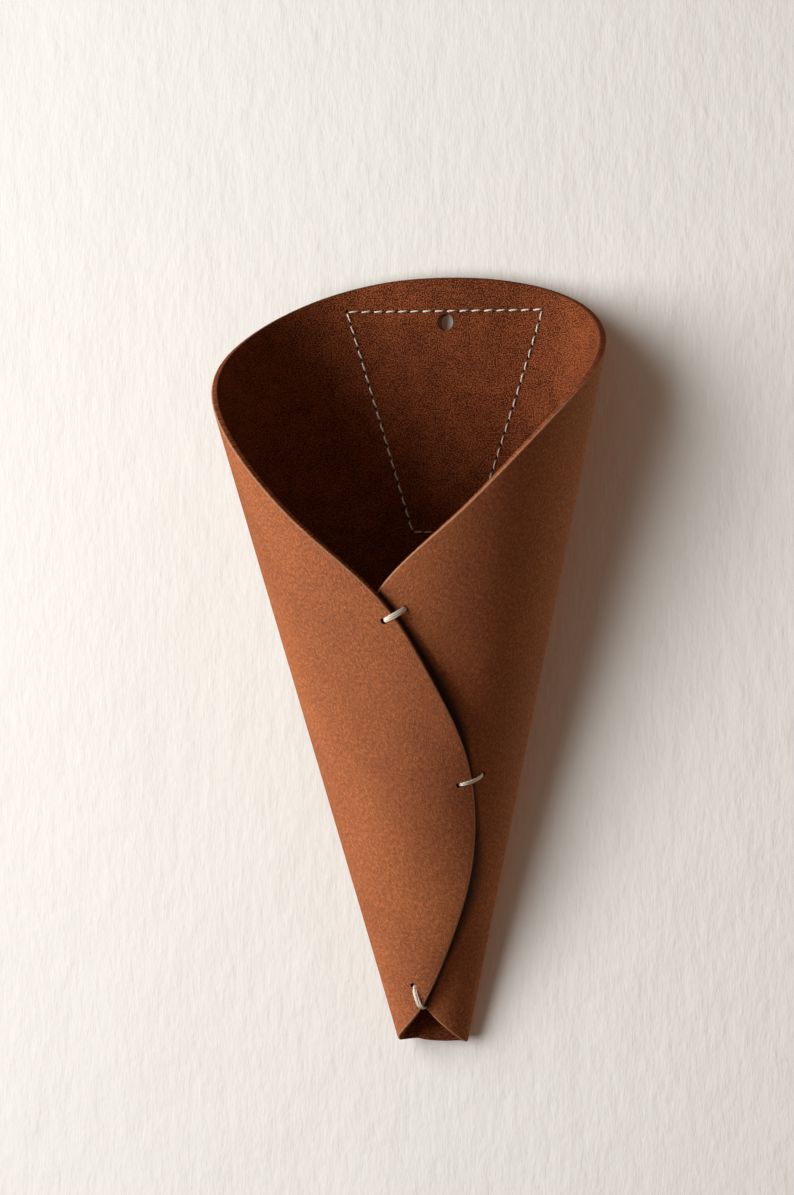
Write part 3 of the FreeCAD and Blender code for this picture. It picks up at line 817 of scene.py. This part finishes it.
def dress(tree, shader, color, roughness, height, look):
    # links what changes over the surface, and sets what is the same all over on the shader's own sockets
    feed(tree, shader.inputs["Base Color"], color)
    feed(tree, shader.inputs["Roughness"], roughness)
    bump = addNode(tree, "Bump", Distance=look["bump"], Strength=look["bumpStrength"], Height=height)
    feed(tree, shader.inputs["Normal"], bump.outputs[0])
    names = {"specular": "Specular IOR Level", "sheen": "Sheen Weight", "sheenRoughness": "Sheen Roughness",
             "sheenTint": "Sheen Tint"}
    for key in names.keys() & look.keys():
        feed(tree, shader.inputs[names[key]], look[key])


grainLook = {
    "light": (0.560, 0.180, 0.056), "middle": (0.470, 0.137, 0.038), "dark": (0.350, 0.090, 0.022),
    "middleShare": 0.40, "patch": 0.021, "flecks": (0.70, 1.28),
    # the crease colour is painted shade, darker in the grain's creases and pores
    "crease": (0.62, 0.50, 0.42), "creaseShadeShare": 0.60,
    "burnish": (0.170, 0.042, 0.014), "burnishShare": 0.45, "burnishWidth": (1.6, 0.3),     # beside a cut edge
    "lap": (0.014, 0.004, 0.002), "lapShadeFade": (0.35, 2.0), "lapShadeShare": 0.95,                 # painted shade under the flap's edge
    "roughness": (0.60, 0.72), "creaseRoughness": 0.14, "specular": 0.38,
    "sheen": 0.05, "sheenRoughness": 0.35, "sheenTint": (1.0, 0.80, 0.52),
    "bump": 0.00030, "bumpStrength": 0.9,
}


def grainMaterial():
    # the smooth outside: patches and flecks, painted shade in the creases and pores, darker beside the cut edges,
    # and a painted shade line under the left flap's edge along the lap
    material, tree, shader = newMaterial("grainLeather")
    look, where = grainLook, mapPlace(tree)
    mottle = group(tree, "mottle", Place=where, Patch=look["patch"])
    grain = group(tree, "grain", Place=where)
    color = mixColor(tree, mottle.outputs["Clouds"], look["dark"], look["light"])
    color = mixColor(tree, look["middleShare"], color, look["middle"])
    color = brightened(tree, color, ranged(tree, mottle.outputs["Flecks"], 0.0, 1.0, *look["flecks"]))
    # painted shade: the colour is darker in the grain's creases and pores
    crease = maths(tree, "MULTIPLY", grain.outputs["Creases"], look["creaseShadeShare"])
    color = mixColor(tree, 1.0, color, mixColor(tree, crease, (1.0, 1.0, 1.0), look["crease"]), "MULTIPLY")
    wearAndShadeWobble = noise(tree, where, 0.35, 4.0, 0.6)
    reach = maths(tree, "MULTIPLY_ADD", wearAndShadeWobble, *look["burnishWidth"])
    near = maths(tree, "DIVIDE", mapMeasure(tree, "edge", 0), reach)
    shade = maths(tree, "MULTIPLY", maths(tree, "SUBTRACT", 1.0, near, use_clamp=True), look["burnishShare"])
    color = mixColor(tree, shade, color, look["burnish"])
    # painted shade: a nearly black line on the right flap under the left flap's edge, its border made ragged by
    # noise
    away = weighted(tree, (mapMeasure(tree, "lap", 0), 1.0), (maths(tree, "SUBTRACT", wearAndShadeWobble, 0.5), 0.5))
    color = mixColor(tree, ranged(tree, away, *look["lapShadeFade"], look["lapShadeShare"], 0.0), color, look["lap"])
    rough = ranged(tree, mottle.outputs["Clouds"], 0.0, 1.0, *look["roughness"])
    rough = maths(tree, "MULTIPLY_ADD", grain.outputs["Creases"], look["creaseRoughness"], rough)
    dress(tree, shader, color, rough, grain.outputs["Height"], look)
    return material


fleshLook = {
    "light": (0.380, 0.098, 0.030), "dark": (0.030, 0.006, 0.002),
    "patch": 0.03, "patches": (0.90, 1.08), "roughness": (0.98, 0.86), "specular": 0.12,
    "sheen": 0.06, "sheenRoughness": 0.55, "sheenTint": (0.95, 0.45, 0.22),
    "bump": 0.0006, "bumpStrength": 1.0,
}
panelColors = {"light": (0.46, 0.20, 0.094), "dark": (0.22, 0.085, 0.040)}


def fleshMaterial(name, look):
    # the rough inside: short nap, a little paler and darker in patches
    material, tree, shader = newMaterial(name)
    where = mapPlace(tree)
    nap = group(tree, "nap", Place=where)
    mottle = group(tree, "mottle", Place=where, Patch=look["patch"])
    color = mixColor(tree, nap.outputs["Clumps"], look["dark"], look["light"])
    color = brightened(tree, color, ranged(tree, mottle.outputs["Clouds"], 0.0, 1.0, *look["patches"]))
    rough = ranged(tree, nap.outputs["Clumps"], 0.0, 1.0, *look["roughness"])
    dress(tree, shader, color, rough, nap.outputs["Height"], look)
    return material


edgeLook = {
    # dark is also the painted shade's colour and light the painted highlight's
    "dark": (0.120, 0.028, 0.010), "middle": (0.440, 0.125, 0.044), "light": (0.680, 0.340, 0.190),
    "shadeBand": (0.40, 0.95, 0.9, 0.0), "highlightBand": (2.0, 2.4, 0.0, 0.6),      # depths, then shares: painted shade beside the flesh side, painted highlight inside the outer corner
    "ragged": 0.6, "roughness": (0.72, 0.88), "specular": 0.15, "bump": 0.00025, "bumpStrength": 0.8,
}


def edgeMaterial():
    # the cut edge: brown fibres, painted shade nearly black beside the flesh side and a painted highlight, a pale
    # line inside the outer corner
    material, tree, shader = newMaterial("cutEdge")
    look, where = edgeLook, mapPlace(tree)
    depth = mapMeasure(tree, "edge", 1)
    depth = maths(tree, "MULTIPLY_ADD", noise(tree, where, 0.8, 4.0, 0.6), look["ragged"], depth)
    fibre = ranged(tree, noise(tree, where, 1.6, 4.0, 0.75), 0.32, 0.68)
    color = mixColor(tree, fibre, look["dark"], look["middle"])
    # painted shade: nearly black beside the flesh side
    color = mixColor(tree, ranged(tree, depth, *look["shadeBand"]), color, look["dark"])
    # painted highlight: a pale line inside the outer corner
    color = mixColor(tree, ranged(tree, depth, *look["highlightBand"]), color, look["light"])
    dress(tree, shader, color, ranged(tree, fibre, 0.0, 1.0, *look["roughness"]), fibre, look)
    return material


threadLook = {
    "dark": (0.76, 0.68, 0.56), "light": (0.95, 0.92, 0.85), "aged": (0.70, 0.60, 0.46), "agedShare": 0.25,
    "roughness": (0.62, 0.42), "specular": 0.45, "sheen": 0.1, "bump": 0.00005, "bumpStrength": 0.7,
}


def threadMaterial():
    # fine waxed fibres, a little aged in places
    material, tree, shader = newMaterial("waxedThread")
    look, where = threadLook, addNode(tree, "TexCoord").outputs["Object"]
    where = vectorMaths(tree, "MULTIPLY", where, (metre,) * 3)
    fibre = noise(tree, where, 6.0, 4.0, 0.7)
    aged = ranged(tree, noise(tree, where, 0.7, 3.0, 0.6), 0.35, 0.65, 0.0, look["agedShare"])
    color = mixColor(tree, aged, mixColor(tree, ranged(tree, fibre, 0.3, 0.7), look["dark"], look["light"]),
                     look["aged"])
    dress(tree, shader, color, ranged(tree, fibre, 0.3, 0.7, *look["roughness"]), fibre, look)
    return material


print("materials")
grainLeather, fleshLeather, cutEdge = grainMaterial(), fleshMaterial("fleshLeather", fleshLook), edgeMaterial()
panelBack = fleshMaterial("panelLeather", {**fleshLook, **panelColors})
waxedThread = threadMaterial()

print("leather wrap")
wrap = leatherWrap([fleshLeather, grainLeather, cutEdge])
cutHoles(wrap, roundHoles(True))
cutHoles(wrap, awlHoles(0.0, leather["thickness"]))

print("back panel")
panel = backPanel([panelBack, cutEdge])
panelInner = leather["thickness"] + leather["glueGap"]
cutHoles(panel, roundHoles(False))
cutHoles(panel, awlHoles(panelInner, panelInner + leather["panelThickness"]))

print("stitching and ties")
panelStitching([waxedThread])
for tieName in ("upper", "middle", "lower"):
    tieThread(tieName, [waxedThread])

# the camera, fitted to the photograph: it looks at the vase from 20 degrees to its right, level, from 1.33 m
view = {"azimuth": 20.0, "elevation": 0.2, "roll": 0.66, "lens": 120.5, "distance": 1.3333,
        "target": (-0.0159, -0.00465, -0.0916), "sensor": 36.0, "clip": (0.05, 30.0)}


def addCamera():
    # round the target by the azimuth, up by the elevation, turned on its own axis by the roll, and backwards
    a, e, r = (math.radians(view[k]) for k in ("azimuth", "elevation", "roll"))
    turn = Matrix.Rotation(a, 4, "Z") @ Matrix.Rotation(math.pi / 2 - e, 4, "X") @ Matrix.Rotation(r, 4, "Z")
    data = bpy.data.cameras.new("camera")
    data.lens, data.sensor_width = view["lens"], view["sensor"]
    data.clip_start, data.clip_end = view["clip"]
    camera = bpy.data.objects.new("camera", data)
    camera.matrix_world = Matrix.Translation(view["target"]) @ turn @ Matrix.Translation((0, 0, view["distance"]))
    bpy.context.scene.collection.objects.link(camera)
    bpy.context.scene.camera = camera


# the light: a tall soft window far round on the left lights the vase, a second one nearer the front lights
# the wall, so that the vase's shadow there is short and soft, and a weak lamp behind on the right stands for
# the wall's own bounce. Each level is how bright a white surface that faces the lamp comes out.
light = {
    "window": {"level": 1.78, "from": (-1.12, -0.79, -0.06), "size": (0.90, 1.10), "color": (1.0, 0.985, 0.965)},
    "wallWindow": {"level": 1.34, "from": (-0.46, -0.72, -0.04), "size": (0.66, 1.10), "color": (1.0, 1.0, 0.975)},
    "bounce": {"level": 0.25, "from": (0.86, 0.84, 0.10), "size": (1.00, 1.00), "color": (1.0, 0.86, 0.54)},
    "aim": (0.0, -0.03, -0.10), "fill": 0.172, "fillColor": (1.0, 0.75, 0.56), "backdrop": (0.93, 0.925, 0.92),
}


def addArea(name, lit):
    # a lamp of the light dictionary, which lights only the objects of one collection
    lamp = light[name]
    data = bpy.data.lights.new(name, "AREA")
    data.shape, data.color = "RECTANGLE", lamp["color"]
    data.size, data.size_y = lamp["size"]
    away = Vector(lamp["from"]) - Vector(light["aim"])
    data.energy = lamp["level"] * math.pi ** 2 * away.length_squared
    piece = bpy.data.objects.new(name, data)
    piece.location = lamp["from"]
    piece.rotation_euler = away.to_track_quat("Z", "Y").to_euler()
    piece.light_linking.receiver_collection = lit
    bpy.context.scene.collection.objects.link(piece)


def addWorld():
    # the fill that lights the vase, and the pale backdrop that the camera sees instead of it. Nothing here is
    # metal or glass, so glossy rays keep the fill: the backdrop would lay a grey veil on the leather.
    world = bpy.data.worlds.new("paleRoom")
    bpy.context.scene.world = world
    world.use_nodes = True
    tree = world.node_tree
    path = addNode(tree, "LightPath")
    seen = maths(tree, "MAXIMUM", path.outputs["Is Camera Ray"], path.outputs["Is Transmission Ray"])
    background = tree.nodes["Background"]
    feed(tree, background.inputs["Strength"], maths(tree, "MULTIPLY_ADD", seen, 1.0 - light["fill"], light["fill"]))
    feed(tree, background.inputs["Color"], mixColor(tree, seen, light["fillColor"], light["backdrop"]))


# the wall and the floor, in metres: planes from a level line at nearY to one on the wall. From pale[0] to pale[1]
# away from the vase they turn pale with a painted glow that the camera alone sees.
stage = {
    "half": 3.0, "low": -0.9, "wallY": 0.001,
    "wall": {"nearY": 0.001, "top": 2.4, "material": "palePlaster", "color": (0.87, 0.868, 0.850),
             "bump": 0.004, "glow": 0.75, "pale": (0.40, 1.30)},
    "floor": {"nearY": -3.0, "top": -0.9, "material": "paleFloor", "color": (0.80, 0.79, 0.77),
              "bump": 0.002, "glow": 0.70, "pale": (0.0, 0.5)},
    "both": {"bumpStrength": 0.7, "specular": 0.15}, "roughness": 0.95,
}


def stageMaterial(look):
    # brushed plaster that is clear from behind, so that the views from behind still see the vase. The glow
    # shows to the camera alone.
    material, tree, shader = newMaterial(look["material"])
    where = addNode(tree, "TexCoord").outputs["Object"]
    brushed = vectorMaths(tree, "MULTIPLY", where, (1.0, 1.0, 0.3))
    height = weighted(tree, (noise(tree, brushed, 150.0, 4.0, 0.6), 0.16),
                      (noise(tree, brushed, 520.0, 3.0, 0.6), 0.13), (noise(tree, where, 14.0, 5.0, 0.6), 1.0))
    dress(tree, shader, look["color"], stage["roughness"], height, {**stage["both"], **look})
    pale = ranged(tree, vectorMaths(tree, "LENGTH", where, output="Value"), *look["pale"], 0.0, look["glow"])
    seen = addNode(tree, "LightPath").outputs["Is Camera Ray"]
    feed(tree, shader.inputs["Emission Strength"], maths(tree, "MULTIPLY", pale, seen))
    feed(tree, shader.inputs["Emission Color"], look["color"])
    clear = addNode(tree, "BsdfTransparent")
    mix = addNode(tree, "MixShader")
    behind = addNode(tree, "NewGeometry").outputs["Backfacing"]
    for socket, value in zip(mix.inputs, (behind, shader.outputs[0], clear.outputs[0])):
        feed(tree, socket, value)
    feed(tree, tree.nodes["Material Output"].inputs["Surface"], mix.outputs[0])
    return material


def addStage(name):
    half, near, far = stage["half"], (stage[name]["nearY"], stage["low"]), (stage["wallY"], stage[name]["top"])
    mesh = bpy.data.meshes.new(name)
    mesh.from_pydata([(-half, *near), (half, *near), (half, *far), (-half, *far)], [], [(0, 1, 2, 3)])
    mesh.materials.append(stageMaterial(stage[name]))
    plane = bpy.data.objects.new(name, mesh)
    bpy.context.scene.collection.objects.link(plane)
    plane.visible_diffuse = plane.visible_glossy = plane.visible_shadow = plane.visible_transmission = False
    return plane


print("stage, light and camera")
addCamera()
vasePieces, stagePieces = bpy.data.collections.new("vase"), bpy.data.collections.new("stage")
for piece in bpy.context.scene.objects:
    if piece.type == "MESH":
        vasePieces.objects.link(piece)
stagePieces.objects.link(addStage("wall"))
stagePieces.objects.link(addStage("floor"))
addArea("window", vasePieces)
addArea("wallWindow", stagePieces)
addArea("bounce", vasePieces)
addWorld()
bpy.context.scene.view_settings.view_transform = "Standard"
